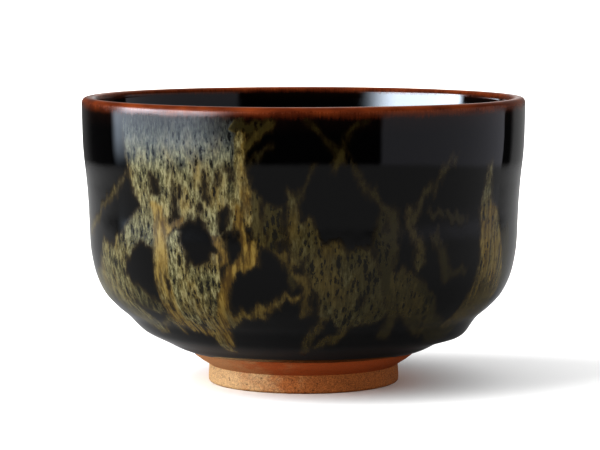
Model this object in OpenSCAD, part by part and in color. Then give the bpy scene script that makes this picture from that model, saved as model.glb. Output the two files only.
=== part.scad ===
// Matcha bowl: a thrown stoneware bowl on a turned foot ring, coated inside and out with a
// black iron glaze that thins to rust brown on the lip, with a second ash glaze run over it.
// Frame: Z is the bowl's own axis, the table is z = 0, and azimuth 0 faces -Y.

/* [Bowl] */
// Diameter across the lip
rim_d = 120; // [108:1:132]
// Height from the table to the top of the lip
bowl_h = 77.5; // [70:0.5:86]
// Thickness of the finished lip
lip_t = 3.6; // [3:0.1:4.4]

/* [Foot] */
// Diameter of the foot ring at its seat
foot_d = 51.4; // [49:0.2:52]
// Height of the foot ring
foot_h = 4.9; // [4.6:0.1:5]
// Width of the foot ring's seat
foot_w = 5.4; // [4.5:0.1:6.5]
// How far the turned well rises above the foot ring's seat
well_rise = 0.9; // [0.4:0.1:1.5]

/* [Glaze] */
// Thickness of the outer black coat
outer_coat = 0.8; // [0.5:0.05:1]
// Thickness of the lining
inner_coat = 0.7; // [0.5:0.05:1]
// Thickness of both coats where they thin, at the lip and at the glaze line
thin_coat = 0.35; // [0.25:0.05:0.45]
// Thickness of the ash glaze runs
ash_coat = 0.2; // [0.15:0.05:0.3]
// How far the rust-brown band reaches down from the top of the lip
rim_band = 2.4; // [2:0.1:5]

/* [Quality] */
// Straight steps between two knots of an outline
knot_steps = 3; // [3:1:6]

/* [Hidden] */

$fn = 96;

// The outlines below are drawn on a bowl 120 wide and 77.5 high, and stretched to size.
drawn_d = 120;
drawn_h = 77.5;
rim_r = rim_d / 2;
lip_r = lip_t / 2;
lip_steps = 14;
lip_square = 0.76;  // 1 makes the lip a half round, and less makes its corners tighter
thinning = 8;   // length over which a coat thins towards its edge
foot_r = foot_d / 2;
seat_r = foot_r - foot_w;
foot_edge = 0.9;  // rounding of the foot ring's standing edges
foot_belly = 0.25;  // how far the ring swells between its seat and its edge

// Finished outer wall, from the glaze line up to the lip: [radius, height].
OUTER = [
    [32, 9.2], [36, 11.1], [40, 12.8], [43.4, 14.6], [45.6, 16.5], [47.8, 18.8], [50.9, 21.4],
    [54.1, 25], [56.4, 30], [57.6, 35.5], [58, 40], [58.3, 48], [58.8, 55], [59.5, 61.5],
    [59.8, 66], [59.95, 71], [60, 74.4]
];
// Finished inner wall, from the lip down to the tea pool in the floor's centre.
INNER = [
    [56.25, 74.4], [55.8, 70], [55.1, 62], [54.5, 54], [54, 46], [53.4, 38], [52, 31], [48.8, 25],
    [43.5, 20.2], [36, 16.4], [27, 13.7], [19.5, 12.2], [15.5, 11.4], [12.5, 10.6], [7, 10.3]
];
floor_z = 10.2;
bare_step = 0.35;  // the turned step where the bare underside leaves the foot ring
bare_sag = 0.25;   // how far the bare underside hollows between the foot ring and the glaze line

// Ash glaze runs: [azimuth of the middle, fingers side by side, top, bottom], heights in mm.
RUNS = [
    [-66, 6, 40, 25], [-47, 3, 72, 54], [-38, 3, 72, 20], [-29, 3, 72, 50], [-29, 3, 36, 18],
    [-20, 3, 71, 26], [-4, 3, 52, 33], [9, 5, 46, 25], [24, 4, 50, 22], [58, 5, 60, 26],
    [88, 4, 70, 38], [107, 5, 66, 26], [128, 3, 58, 30], [146, 6, 72, 36], [172, 4, 64, 22],
    [193, 5, 70, 32], [216, 3, 56, 24], [235, 6, 72, 28], [262, 4, 66, 40]
];
finger_step = 2.8;   // degrees from one finger of a run to the next
finger_width = 2.4;
finger_drop = 9;   // most that one finger hangs below its neighbour

function stretched(points) = [for (p = points) [p.x * rim_d / drawn_d, p.y * bowl_h / drawn_h]];

// Catmull-Rom curve through the knots.
function curve_point(a, b, c, d, t) =
    0.5 * (2 * b + (c - a) * t + (2 * a - 5 * b + 4 * c - d) * t ^ 2 + (3 * b - a - 3 * c + d) * t ^ 3);
function curve(knots) =
    let (last = len(knots) - 1,
         k = concat([2 * knots[0] - knots[1]], knots, [2 * knots[last] - knots[last - 1]]))
    [for (i = [1 : last], s = [0 : knot_steps - 1])
        curve_point(k[i - 1], k[i], k[i + 1], k[i + 2], s / knot_steps),
     knots[last]];

function reversed(list) = [for (i = [len(list) - 1 : -1 : 0]) list[i]];
function slice(list, from, to) = [for (i = [from : to]) list[i]];
function smooth(x) = let (t = max(0, min(1, x))) t * t * (3 - 2 * t);

// The finished surface as one path: glaze line, outer wall, over the lip, inner wall, centre.
lip_z = bowl_h - lip_r;
outer_path = curve(concat(stretched(OUTER), [[rim_r, lip_z]]));
lip_path = [for (i = [1 : lip_steps - 1])
    let (a = 180 * i / lip_steps)
    [rim_r - lip_r + lip_r * sign(cos(a)) * abs(cos(a)) ^ lip_square, lip_z + lip_r * sin(a) ^ lip_square]];
inner_path = curve(concat([[rim_r - lip_t, lip_z]], stretched(INNER), stretched([[0, floor_z]])));
skin = concat(outer_path, lip_path, inner_path);
skin_end = len(skin) - 1;
lip_middle = len(outer_path) + lip_steps / 2 - 1;

// Unit normals of the finished surface. They point out of the pot, and straight up at the centre.
function normal(i) =
    i == skin_end ? [0, 1] :
    let (t = skin[min(i + 1, skin_end)] - skin[max(i - 1, 0)]) [t.y, -t.x] / norm(t);

// Thickness of the coat under point i. It thins towards the lip and the glaze line.
function coat(i) =
    let (full = i < lip_middle ? outer_coat : inner_coat,
         below_lip = smooth((lip_z - skin[i].y) / thinning),
         past_line = i < lip_middle ? smooth(norm(skin[i] - skin[0]) / thinning) : 1)
    thin_coat + (full - thin_coat) * min(below_lip, past_line);

clay = [for (i = [0 : skin_end]) let (p = skin[i] - normal(i) * coat(i)) [max(0, p.x), p.y]];

// The rust band runs between these two points of the path, one on each side of the lip.
band_z = bowl_h - rim_band;
band_out = max([for (i = [0 : lip_middle]) if (skin[i].y <= band_z) i]);
band_in = min([for (i = [lip_middle : skin_end]) if (skin[i].y <= band_z) i]);

// A coat between the clay and the finished surface, over a stretch of the path.
module coat_ring(from, to) {
    rotate_extrude()
        polygon(concat(slice(skin, from, to), reversed(slice(clay, from, to))));
}

module clay_body() {
    boss = [[0, foot_h + well_rise / 3], [4, foot_h + well_rise]];
    seat = [[seat_r - 1, foot_h + well_rise], [seat_r, foot_h], [foot_r, foot_h]];
    step = [foot_r + bare_step, foot_h + bare_step];
    middle = (step + clay[0]) / 2 + [bare_sag, -bare_sag];
    color([0.72, 0.42, 0.24])
        rotate_extrude()
            polygon(concat(boss, seat, [step, middle], clay));
}

module foot_ring() {
    ring_in = seat_r + 0.5;
    outside = [for (a = [0 : 15 : 90])
        [foot_r + foot_belly - foot_edge + foot_edge * cos(-a), foot_edge - foot_edge * sin(a)]];
    inside = [for (a = [90 : -15 : 0])
        [ring_in + foot_edge - foot_edge * cos(a), foot_edge - foot_edge * sin(a)]];
    color([0.80, 0.55, 0.36])
        rotate_extrude()
            polygon(concat([[foot_r, foot_h], [foot_r + foot_belly, foot_h / 2]],
                           outside, inside, [[seat_r, foot_h]]));
}

module outer_glaze() {
    color([0.06, 0.05, 0.05])
        coat_ring(0, band_out);
}

module rim_glaze() {
    color([0.48, 0.20, 0.09])
        coat_ring(band_out, band_in);
}

module inner_glaze() {
    color([0.07, 0.06, 0.06])
        coat_ring(band_in, skin_end);
}

// One finger of ash glaze on the outer coat, between two heights of a bowl of the drawn height.
module ash_finger(azimuth, top, bottom) {
    tall = bowl_h / drawn_h;
    covered = [for (i = [1 : band_out - 1]) if (skin[i].y > bottom * tall && skin[i].y < top * tall) i];
    surface = [for (i = covered) skin[i]];
    film = [for (i = covered) skin[i] + normal(i) * ash_coat];
    rotate([0, 0, azimuth - 90 - finger_width / 2])
        rotate_extrude(angle = finger_width)
            polygon(concat(film, reversed(surface)));
}

module ash_glaze() {
    color([0.55, 0.47, 0.22])
        for (run = RUNS) {
            drops = rands(0, finger_drop, run[1], run[0] + 500);
            for (i = [0 : run[1] - 1])
                ash_finger(run[0] + (i - (run[1] - 1) / 2) * finger_step,
                           run[2] - drops[i] / 2, run[3] + drops[i]);
        }
}

clay_body();
foot_ring();
outer_glaze();
inner_glaze();
rim_glaze();
ash_glaze();
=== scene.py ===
"""The looks of a stoneware matcha bowl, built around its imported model.

The bowl was thrown and turned about Z, so its wall is one line. It starts at the foot ring and runs
up the outside, over the lip and down the inside to the middle of the floor. A place on the bowl is
an azimuth, in degrees from -Y towards +X, and a distance along that line. The glazes are coats on
the clay. Ash glaze runs are strokes on the outer coat: each is a path of (azimuth, millimetres
below the lip). What it does to the glaze is kept on the mesh as attributes, which the glaze finish
reads.
"""

import logging
import math
from dataclasses import dataclass, field
from enum import Enum

import bmesh
import bpy
import numpy as np
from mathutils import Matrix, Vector


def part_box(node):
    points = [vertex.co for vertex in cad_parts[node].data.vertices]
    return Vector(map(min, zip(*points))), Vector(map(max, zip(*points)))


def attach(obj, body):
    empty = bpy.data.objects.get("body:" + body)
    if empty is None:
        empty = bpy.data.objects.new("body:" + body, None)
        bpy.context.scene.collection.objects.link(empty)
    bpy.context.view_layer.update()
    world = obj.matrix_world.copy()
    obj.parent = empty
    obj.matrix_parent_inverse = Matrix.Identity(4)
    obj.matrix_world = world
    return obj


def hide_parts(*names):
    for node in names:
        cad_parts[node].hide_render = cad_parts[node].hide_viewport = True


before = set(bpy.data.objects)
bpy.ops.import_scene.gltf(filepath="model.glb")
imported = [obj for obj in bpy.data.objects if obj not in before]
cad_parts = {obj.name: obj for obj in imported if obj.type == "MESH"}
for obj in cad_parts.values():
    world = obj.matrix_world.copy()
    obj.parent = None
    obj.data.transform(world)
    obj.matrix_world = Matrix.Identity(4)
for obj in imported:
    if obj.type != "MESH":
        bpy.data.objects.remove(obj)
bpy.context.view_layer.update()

MM = 0.001
BODY = "root"
GLASS_IOR = 1.5
Point = tuple[float, float]
Colour = tuple[float, float, float]
Socket = bpy.types.NodeSocket
log = logging.getLogger("matcha_bowl")


def smooth_step(low: float, high: float, value: np.ndarray) -> np.ndarray:
    """Rises smoothly from 0 at low to 1 at high. It falls where low is the larger.

    Args:
        low: The value that gives 0.
        high: The value that gives 1.
        value: The values to shape.

    Returns:
        The shaped values, from 0 to 1.
    """
    t = np.clip((value - low) / (high - low), 0.0, 1.0)
    return t * t * (3.0 - 2.0 * t)


def wrapped(degrees: np.ndarray) -> np.ndarray:
    """Returns angles as the same angles between -180 and 180."""
    return (degrees + 180.0) % 360.0 - 180.0


def hump(value: np.ndarray, middle: float, spread: float) -> np.ndarray:
    """Returns 1 where a value is at the middle, which falls softly to 0 on both sides."""
    return np.exp(-((value - middle) / spread) ** 2)


# --- The wall's line -----------------------------------------------------------------------------


@dataclass(frozen=True)
class Drawing:
    """The bowl's outline as it is drawn, in millimetres, before it is stretched to its size.

    Attributes:
        width: Its width across the lip.
        height: Its height.
        lip: The thickness of the finished lip.
        lip_square: How round the lip is. 1 is a half round, and less makes its corners tighter.
        outer: The finished outer wall's (radius, height), from the glaze line up to the lip.
        inner: The finished inner wall's, from the lip down to the floor's centre.
        outer_coat: The thickness of the outer coat.
        inner_coat: The thickness of the lining.
        thin_coat: The thickness of both where they thin, at the lip and at the glaze line.
        thinning: The length over which a coat thins.
    """

    width: float = 120.0
    height: float = 77.5
    lip: float = 3.6
    lip_square: float = 0.76
    outer: tuple[Point, ...] = (
        (32, 9.2), (36, 11.1), (40, 12.8), (43.4, 14.6), (45.6, 16.5), (47.8, 18.8), (50.9, 21.4),
        (54.1, 25), (56.4, 30), (57.6, 35.5), (58, 40), (58.3, 48), (58.8, 55), (59.5, 61.5),
        (59.8, 66), (59.95, 71), (60, 74.4),
    )
    inner: tuple[Point, ...] = (
        (56.25, 74.4), (55.8, 70), (55.1, 62), (54.5, 54), (54, 46), (53.4, 38), (52, 31),
        (48.8, 25), (43.5, 20.2), (36, 16.4), (27, 13.7), (19.5, 12.2), (15.5, 11.4), (12.5, 10.6),
        (7, 10.3), (0, 10.2),
    )
    outer_coat: float = 0.8
    inner_coat: float = 0.7
    thin_coat: float = 0.35
    thinning: float = 8.0


def curve_through(knots: np.ndarray, steps: int) -> np.ndarray:
    """Draws a Catmull-Rom curve through knots.

    Args:
        knots: The knots, one a row.
        steps: Straight steps between two knots.

    Returns:
        The curve's points, one a row.
    """
    ends = np.vstack([2 * knots[0] - knots[1], knots, 2 * knots[-1] - knots[-2]])
    t = np.linspace(0, 1, steps, endpoint=False)[:, None]
    spans = []
    for a, b, c, d in zip(ends, ends[1:], ends[2:], ends[3:]):
        spans.append(0.5 * (2 * b + (c - a) * t + (2 * a - 5 * b + 4 * c - d) * t**2
                            + (3 * b - a - 3 * c + d) * t**3))
    return np.vstack([*spans, knots[-1:]])


@dataclass
class WallLine:
    """The clay's line from the foot ring to the floor's centre, with the coats on it, in metres.

    Attributes:
        drawing: The outline that the line is made from.
        clearance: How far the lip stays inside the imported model, for its hand-thrown wander.
        steps: Straight steps between two knots of the outline.
        lip_steps: Straight steps over the lip.
        ring_inset: How far inside the foot ring's edge the line starts.
        turned_step: How far out and up the turned step at the foot ring is.
        sag: How far the middle of the bare underside follows on from the wall.
        hollow: How far it is out and down from a straight line.
    """

    drawing: Drawing = field(default_factory=Drawing)
    clearance: float = 0.05 * MM
    steps: int = 10
    lip_steps: int = 24
    ring_inset: float = 0.3 * MM
    turned_step: Point = (0.35 * MM, 0.28 * MM)
    sag: float = 0.1 * MM
    hollow: Point = (0.2 * MM, -0.2 * MM)

    def __post_init__(self) -> None:
        """Works out the line's points, normals, coats and distances."""
        drawing = self.drawing
        low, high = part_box("rim_glaze")
        self.rim_radius = min(high.x, high.y, -low.x, -low.y) - self.clearance
        self.height = high.z - self.clearance
        stretch = np.array([self.rim_radius / (drawing.width / 2), self.height / drawing.height])
        lip_radius = drawing.lip / 2 * MM
        lip_z = self.height - lip_radius
        outer = np.vstack([np.array(drawing.outer) * stretch, [self.rim_radius, lip_z]])
        inner = np.vstack([[self.rim_radius - 2 * lip_radius, lip_z],
                           np.array(drawing.inner) * stretch])
        turn = np.linspace(0, math.pi, self.lip_steps + 1)[1:-1]
        centre = np.array([self.rim_radius - lip_radius, lip_z])
        corners = np.abs(np.cos(turn)) ** drawing.lip_square * np.sign(np.cos(turn))
        lip = centre + lip_radius * np.column_stack([corners, np.sin(turn) ** drawing.lip_square])
        outer, inner = curve_through(outer, self.steps), curve_through(inner, self.steps)
        skin = np.vstack([outer, lip, inner])
        normals = self.normals_of(skin)
        normals[-1] = (0.0, 1.0)
        middle = len(skin) - len(inner) - self.lip_steps // 2
        coat = self.coats(skin, middle, lip_z)
        clay = skin - normals * coat[:, None]
        clay[:, 0] = np.maximum(clay[:, 0], 0.0)
        bare = curve_through(self.bare_knots(clay[0], clay[1]), self.steps)[:-1]
        self.points = np.vstack([bare, clay])
        self.normals = np.vstack([self.normals_of(bare), normals])
        self.coat = np.concatenate([np.full(len(bare), coat[0]), coat])
        self.along = np.concatenate([[0.0], np.cumsum(np.hypot(*np.diff(self.points, axis=0).T))])
        self.glaze_line = self.along[len(bare)]
        self.widest = self.along[len(bare) + len(outer) - 1]
        self.crest = self.along[len(bare) + middle]
        self.inner_edge = self.along[-len(inner)]
        self.centre = self.along[-1]

    def bare_knots(self, line: np.ndarray, above: np.ndarray) -> np.ndarray:
        """Draws the turned, bare underside from the foot ring to the glaze line.

        Args:
            line: The clay's point at the glaze line.
            above: The clay's next point up the wall.

        Returns:
            The knots of the bare underside, which end at the glaze line.
        """
        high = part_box("foot_ring")[1]
        corner = np.array([high.x - self.ring_inset, high.z])
        step = corner + np.array(self.turned_step)
        toward = (line - above) / np.linalg.norm(line - above)
        middle = (step + line) / 2 + toward * self.sag + np.array(self.hollow)
        return np.vstack([corner, step, middle, line])

    @staticmethod
    def normals_of(points: np.ndarray) -> np.ndarray:
        """Works out the unit normals of a line.

        Args:
            points: The line's points, one a row.

        Returns:
            The normals, which point out of the clay.
        """
        along = np.gradient(points, axis=0)
        turned = np.column_stack([along[:, 1], -along[:, 0]])
        return turned / np.linalg.norm(turned, axis=1)[:, None]

    def coats(self, skin: np.ndarray, middle: int, lip_z: float) -> np.ndarray:
        """Works out how thick the glaze is under each point of the finished surface.

        Args:
            skin: The finished surface's points.
            middle: The index of the lip's crest.
            lip_z: The height of the lip's centre.

        Returns:
            The thicknesses, in metres.
        """
        drawing = self.drawing
        index = np.arange(len(skin))
        full = np.where(index < middle, drawing.outer_coat, drawing.inner_coat)
        thinning = drawing.thinning * MM
        below_lip = smooth_step(0, thinning, lip_z - skin[:, 1])
        past_line = smooth_step(0, thinning, np.hypot(*(skin - skin[0]).T))
        share = np.minimum(below_lip, np.where(index < middle, past_line, 1.0))
        return (drawing.thin_coat + (full - drawing.thin_coat) * share) * MM

    def at(self, along: np.ndarray) -> tuple[np.ndarray, np.ndarray, np.ndarray]:
        """Reads the line at distances along it.

        Args:
            along: Distances from the foot ring, in metres.

        Returns:
            The clay's points, the normals and the coat's thicknesses there.
        """
        points, normals = (
            np.column_stack([np.interp(along, self.along, column) for column in values.T])
            for values in (self.points, self.normals))
        return points, normals, np.interp(along, self.along, self.coat)

    def below_lip(self, along: np.ndarray) -> np.ndarray:
        """Returns how far down the wall a place is from the lip's widest point, in millimetres."""
        return (self.widest - along) / MM


# --- What hand and kiln did to the shape ---------------------------------------------------------


@dataclass(frozen=True)
class WallNoise:
    """Smooth random values over the wall, which close on themselves round the bowl.

    Attributes:
        seed: What the values are drawn from.
        wide: The size of one value's patch round the bowl, in millimetres.
        tall: The size of one value's patch up the wall, in millimetres.
    """

    COVERED = 240.0  # millimetres of wall that have values of their own
    ABOVE = 60.0     # how many of them are above the lip's widest point

    seed: int
    wide: float
    tall: float

    def at(self, azimuth: np.ndarray, below: np.ndarray) -> np.ndarray:
        """Reads the values at places on the wall.

        Args:
            azimuth: Azimuths in degrees.
            below: Distances below the lip in millimetres.

        Returns:
            Values from -1 to 1.
        """
        columns = max(3, round(360.0 / self.wide))
        rows = math.ceil(self.COVERED / self.tall) + 3
        grid = np.random.default_rng(self.seed).uniform(-1, 1, (rows, columns))
        u = (azimuth % 360.0) / 360.0 * columns
        v = np.clip((below + self.ABOVE) / self.tall, 0, rows - 1.001)
        column, row = np.floor(u).astype(int), np.floor(v).astype(int)
        across, up = smooth_step(0, 1, u - column), smooth_step(0, 1, v - row)
        left, right = column % columns, (column + 1) % columns
        low = grid[row, left] * (1 - across) + grid[row, right] * across
        high = grid[row + 1, left] * (1 - across) + grid[row + 1, right] * across
        return low * (1 - up) + high * up


@dataclass(frozen=True)
class HandThrown:
    """How far the thrown form is from a true round. It moves every piece alike.

    Attributes:
        height: The bowl's height, in metres.
        radius: The lip's radius, in metres.
        out_of_round: Most that the lip wanders in or out, in metres.
        lift: Most that the lip wanders up or down, in metres.
    """

    # The share, the count round the bowl and the phase of each wave of the wander.
    SWELLS = ((0.7, 2, 0.6), (0.3, 3, -1.1))
    LIFTS = ((0.6, 2, -0.4), (0.4, 5, 0.0))

    height: float
    radius: float = 60 * MM
    out_of_round: float = 0.045 * MM
    lift: float = 0.045 * MM

    @staticmethod
    def waves(turn: np.ndarray, parts: tuple[tuple[float, int, float], ...]) -> np.ndarray:
        """Returns the sum of waves round the bowl, from -1 to 1."""
        return sum(share * np.sin(count * turn + phase) for share, count, phase in parts)

    def settle(self, places: np.ndarray) -> np.ndarray:
        """Moves points as the thrown form wanders.

        Args:
            places: Points of a true round bowl, one a row.

        Returns:
            The moved points.
        """
        moved = places.copy()
        turn = np.arctan2(places[:, 0], -places[:, 1])
        share = np.clip(places[:, 2] / self.height, 0, 1) ** 2
        swell = 1 + self.out_of_round / self.radius * share * self.waves(turn, self.SWELLS)
        moved[:, :2] *= swell[:, None]
        moved[:, 2] += self.lift * share**2 * self.waves(turn, self.LIFTS)
        return moved


# --- Ash glaze -----------------------------------------------------------------------------------


class Effect(Enum):
    """What a stroke does to the outer coat."""

    ASH = "lays ash glaze"
    BARE = "leaves the black coat bare"


@dataclass(frozen=True)
class Stroke:
    """One run of ash glaze, or one gap in it.

    Attributes:
        path: The stroke's middle, as (azimuth in degrees, millimetres below the lip).
        width: Its width at its start and at its end, in millimetres.
        gold: How golden it is, from 0, olive, to 1, ochre.
        lace: How much it breaks up into dark lens-shaped pores, from 0 to 1.
        body: How opaque it is, from 0 to 1.
        effect: Whether it lays ash glaze or leaves a gap.
    """

    path: tuple[Point, ...]
    width: Point
    gold: float = 0.3
    lace: float = 0.3
    body: float = 1.0
    effect: Effect = Effect.ASH

    OUTSIDE = -99.0  # the depth that any place beats

    def depth(self, azimuth: np.ndarray, below: np.ndarray) -> np.ndarray:
        """Works out how deep inside the stroke a place is.

        Args:
            azimuth: Azimuths in degrees.
            below: Distances below the lip in millimetres.

        Returns:
            Millimetres inside the stroke's edge, less than 0 outside it.
        """
        first = self.path[0][0]
        across = wrapped(azimuth - first) * AshGlaze.MM_PER_DEGREE
        lengths = [0.0]
        points = [np.array([wrapped(a - first) * AshGlaze.MM_PER_DEGREE, s]) for a, s in self.path]
        for a, b in zip(points, points[1:]):
            lengths.append(lengths[-1] + float(np.linalg.norm(b - a)))
        deepest = np.full(len(azimuth), self.OUTSIDE)
        for (a, b), (start, end) in zip(zip(points, points[1:]), zip(lengths, lengths[1:])):
            step = b - a
            t = ((across - a[0]) * step[0] + (below - a[1]) * step[1]) / float(step @ step)
            t = np.clip(t, 0.0, 1.0)
            distance = np.hypot(across - a[0] - t * step[0], below - a[1] - t * step[1])
            share = (start + t * (end - start)) / lengths[-1]
            half = (self.width[0] + (self.width[1] - self.width[0]) * share) / 2
            deepest = np.maximum(deepest, half - distance)
        return deepest


def ash(path: tuple[Point, ...], width: Point, gold: float = 0.3, lace: float = 0.3,
        body: float = 1.0) -> Stroke:
    """Returns a stroke that lays ash glaze."""
    return Stroke(path, width, gold, lace, body)


def gap(azimuth: float, below: float, wide: float, tall: float, lean: float = 0.0) -> Stroke:
    """Returns an upright gap in the ash glaze.

    Args:
        azimuth: The gap's middle in degrees.
        below: Its middle in millimetres below the lip.
        wide: Its width in millimetres.
        tall: Its height in millimetres.
        lean: How far its foot lies to the side of its top, in degrees.

    Returns:
        The stroke that leaves the gap.
    """
    reach = max(0.05, (tall - wide) / 2)
    path = ((azimuth - lean / 2, below - reach), (azimuth + lean / 2, below + reach))
    return Stroke(path, (wide, wide), effect=Effect.BARE)


MAIN_FALL = (
    ash(((-43, 5), (-42, 18)), (18, 14), 0.1, 0.5, 0.95),
    ash(((-27, 5), (-24.5, 22)), (21, 19), 0.15, 0.55, 0.95),
    ash(((-46, 6), (-46, 13), (-45.5, 19)), (8, 6.5), 0.1, 0.55, 0.95),
    ash(((-39, 4), (-38, 14), (-37.5, 24)), (9, 5.5), 0.1, 0.45),
    ash(((-31, 4), (-30, 14), (-29.5, 22)), (9, 8), 0.2, 0.35),
    ash(((-22, 5), (-20, 14), (-19.5, 23)), (8, 8.5), 0.4, 0.6),
    ash(((-15.5, 6), (-15.5, 12), (-14.5, 19), (-13.5, 26)), (4, 3.4), 0.35, 0.5),
    ash(((-8, 2), (-11, 5), (-14.5, 8.5)), (3.2, 2), 0.8, 0.3, 0.6),
    ash(((-20, 3), (-10, 3)), (4, 3), 0.7, 0.5, 0.35),
    ash(((-43.5, 25), (-43, 33)), (4, 3.5), 0.1, 0.6),
    ash(((-40, 24), (-39.5, 31), (-38.8, 40), (-38.5, 50), (-39, 57)), (6, 6.5), 0.45, 0.1),
    ash(((-36.5, 29.5), (-33, 27), (-28.5, 24.8)), (2.6, 2.4), 0.6, 0.1),
    ash(((-28.5, 24.8), (-25, 27.5), (-23, 31), (-20.8, 34.5), (-19.8, 38)), (2.8, 2.4), 0.65, 0.1),
    ash(((-34, 32), (-34, 42), (-33, 54)), (5.5, 8), 0.15, 0.65),
    ash(((-27.5, 42), (-27, 48), (-29, 56)), (10, 9), 0.2, 0.75),
    ash(((-22.5, 37), (-22.5, 45)), (3.4, 4), 0.2, 0.85),
    ash(((-39, 57), (-30, 58)), (6.5, 7), 0.45, 0.3),
    ash(((-13.3, 33), (-13.8, 37.5)), (3, 4), 0.85, 0.0),
    ash(((-14.5, 38), (-18.3, 40.5), (-20.3, 45), (-22, 51), (-23.8, 57), (-25.4, 64)), (3, 5),
        0.8, 0.05),
    ash(((-26.5, 58), (-27.5, 64), (-27, 68.5)), (6, 4.5), 0.5, 0.1),
    ash(((-21.5, 50), (-20.5, 55.5)), (4.5, 3.6), 0.45, 0.1, 0.85),
    ash(((-19.5, 54.5), (-14.5, 51.8), (-10, 49.8), (-6, 47.3), (-0.5, 46)), (3, 2), 0.6, 0.1, 0.8),
    ash(((-12.3, 51), (-11.6, 52.4)), (2.8, 3.2), 0.6, 0.0, 0.8),
    ash(((-17.5, 24), (-16.2, 29), (-14.2, 34)), (3.6, 2.8), 0.85, 0.1),
    ash(((-22, 24), (-22.4, 28), (-20.6, 32.5)), (1.8, 1.6), 0.6, 0.1),
    ash(((-42.5, 57), (-41.5, 61.5)), (3, 2), 0.4, 0.1),
)
MAIN_GAPS = (
    gap(-28, 32, 8.6, 11, 1.5), gap(-47.6, 41, 6.4, 11, 2.5), gap(-24.6, 18, 0.9, 7),
    gap(-24.2, 21.5, 1.6, 3.2), gap(-40.4, 18.6, 1.7, 5), gap(-35.1, 22.4, 1, 6),
    gap(-35.3, 25.6, 1.6, 3), gap(-32.6, 19.4, 0.9, 3.2), gap(-20.4, 27.4, 2.2, 5),
    gap(-17.4, 33.4, 2.2, 6.5), gap(-26, 25, 1.1, 2), gap(-9.4, 37, 4, 6.5),
    gap(-31.4, 57, 1, 3.4), gap(-39, 60.4, 1.6, 2), gap(-38.7, 51, 0.8, 3.4),
    gap(-37.3, 44, 0.8, 2.4), gap(-21, 17, 1, 3), gap(-17.5, 16.2, 1, 2.4),
    gap(-33.2, 62.5, 1.4, 4, 3),
)
MIDDLE_RUNS = (
    ash(((2.2, 13.5), (0, 17), (-2.5, 20)), (0.9, 2.2), 0.4, 0.2, 0.46),
    ash(((-3, 20), (-3, 27), (-2.4, 35)), (2.6, 4.4), 0.35, 0.35, 0.73),
    ash(((-11.5, 21), (-11, 31)), (3.4, 4), 0.25, 0.85, 0.65),
    ash(((-7.6, 24), (-7.6, 32)), (4, 4.6), 0.2, 0.95, 0.61),
    ash(((-9, 30), (-6.5, 35), (-4, 38), (-1, 40.5), (1.2, 43.5), (0.8, 51)), (1.6, 2.8),
        0.8, 0.0, 0.69),
    ash(((-3.2, 40), (-2.6, 42)), (2.4, 2.6), 0.4, 0.1, 0.46),
    ash(((-1, 29), (3, 36), (6, 42), (7.6, 49)), (7, 9), 0.25, 0.75, 0.69),
    ash(((6, 35), (10.5, 43), (12.5, 52)), (8, 9), 0.3, 0.8, 0.69),
    ash(((14, 37), (17, 43), (19, 52)), (7.5, 8), 0.2, 0.85, 0.61),
    ash(((8.2, 47), (6.2, 52), (4, 56), (1.5, 61), (0.2, 67)), (3, 3.6), 0.65, 0.1, 0.65),
    ash(((10.4, 51), (12.2, 55), (11.2, 59.5), (7.6, 62), (4.6, 65)), (4, 3), 0.5, 0.15, 0.65),
    ash(((0.5, 1), (3, 4), (6, 7), (8.2, 10)), (0.7, 1.2), 0.6, 0.1, 0.38),
    ash(((15, 1.5), (11.5, 4), (10, 6.5), (9.2, 10)), (0.6, 1), 0.6, 0.1, 0.34),
    ash(((8.4, 10.5), (8.3, 12.6)), (2.2, 3.4), 0.9, 0.0, 0.57),
    ash(((10, 11), (12, 13.5), (14.4, 17), (18, 21), (22, 25.5)), (0.9, 2.6), 0.45, 0.15, 0.49),
    ash(((22, 25), (23.3, 30), (22.6, 38)), (3, 3), 0.25, 0.4, 0.49),
    ash(((19.6, 24), (19.2, 34)), (2.2, 2.4), 0.15, 0.6, 0.38),
    ash(((20.5, 31), (21, 38), (23, 46)), (4.6, 3.6), 0.2, 0.85, 0.46),
    ash(((18.5, 49), (20, 53)), (3, 2.4), 0.35, 0.5, 0.53),
    ash(((22.5, 46), (25, 54), (25.6, 61.5)), (3, 4.6), 0.5, 0.2, 0.57),
    ash(((-7, 7), (-10, 9.5), (-13.5, 13)), (0.6, 0.9), 0.3, 0.0, 0.34),
    gap(3.5, 48.4, 1.6, 8), gap(7.2, 56.4, 3.8, 6.4), gap(3.3, 63, 2.2, 2.6),
    gap(-6.6, 32.6, 1.8, 3.6), gap(15.3, 47, 0.9, 3), gap(-0.9, 37, 1.2, 2.6),
)
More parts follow.
